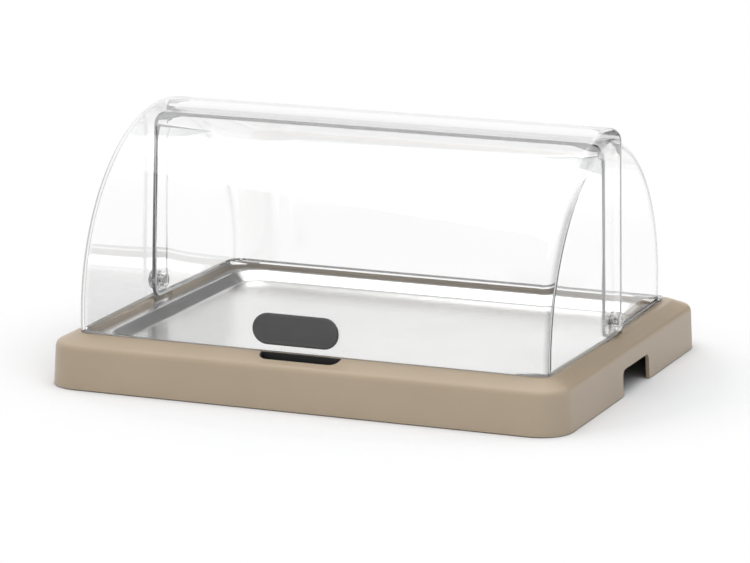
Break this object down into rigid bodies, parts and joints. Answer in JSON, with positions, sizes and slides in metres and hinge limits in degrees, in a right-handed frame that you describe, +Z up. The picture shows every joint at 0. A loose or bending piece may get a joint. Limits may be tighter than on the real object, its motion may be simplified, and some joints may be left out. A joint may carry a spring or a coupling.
{
  "type": "roll-top buffet display",
  "caption": "Roll-top buffet display: a clear two-part dome whose halves roll over each other, on a base with a steel serving tray and cold packs below.",
  "frame": {"origin": "on the table under the middle of the base", "axes": "+X to the right along the length, -Y to the front where the grip badge is, +Z up"},
  "size_m": [0.44, 0.354, 0.2091],
  "materials": {
    "taupe_plastic": "fine satin moulded plastic",
    "black_plastic": "fine textured moulded plastic",
    "zinc_steel": "zinc-plated",
    "rubber": "matt rubber",
    "pack_plastic": "blow-moulded plastic",
    "pack_cap": "moulded plastic",
    "stainless": "brushed stainless steel",
    "stainless_pin": "turned stainless steel",
    "clear_cover": "clear polycarbonate sheet",
    "clear_moulding": "clear moulded polycarbonate",
    "soft_grip": "soft-touch grey elastomer",
    "adhesive": "foam adhesive tape"
  },
  "bodies": {
    "base": {"base_shell": "taupe_plastic", "finger_cup": "black_plastic", "inner_tub": "black_plastic", "tub_screws": "zinc_steel", "foot_front_left": "rubber", "foot_front_right": "rubber", "foot_rear_left": "rubber", "foot_rear_right": "rubber"},
    "pack_left": {"cold_pack_left": "pack_plastic", "cold_pack_plug_left": "pack_cap"},
    "pack_right": {"cold_pack_right": "pack_plastic", "cold_pack_plug_right": "pack_cap"},
    "tray": {"serving_tray": "stainless"},
    "cover_mount": {"pivot_pin_left": "stainless_pin", "pivot_pin_right": "stainless_pin", "pivot_cap_left": "clear_moulding", "pivot_cap_right": "clear_moulding", "pivot_knob_left": "clear_moulding", "pivot_knob_right": "clear_moulding", "pivot_bracket_left": "clear_moulding", "pivot_bracket_right": "clear_moulding"},
    "cover_front": {"front_shell": "clear_cover", "badge_pad": "adhesive", "grip_badge": "soft_grip"},
    "cover_rear": {"rear_shell": "clear_cover"}
  },
  "joints": [
    {"name": "pack_left_lift", "type": "slide", "parent": "base", "child": "pack_left", "axis": [0, 0, 1], "range_m": [0, 0.045]},
    {"name": "pack_right_lift", "type": "slide", "parent": "base", "child": "pack_right", "axis": [0, 0, 1], "range_m": [0, 0.045]},
    {"name": "tray_lift", "type": "slide", "parent": "pack_left", "child": "tray", "axis": [0, 0, 1], "range_m": [0, 0.06]},
    {"name": "cover_lift", "type": "slide", "parent": "tray", "child": "cover_mount", "axis": [0, 0, 1], "range_m": [0, 0.2]},
    {"name": "front_roll", "type": "hinge", "parent": "cover_mount", "child": "cover_front", "pos_m": [0, 0, 0.0545], "axis": [-1, 0, 0], "range_deg": [0, 75]},
    {"name": "rear_roll", "type": "hinge", "parent": "cover_mount", "child": "cover_rear", "pos_m": [0, 0, 0.0545], "axis": [1, 0, 0], "range_deg": [0, 75]}
  ],
  "couplings": [
    {"joint": "pack_right_lift", "follows": "pack_left_lift", "ratio": 1}
  ]
}
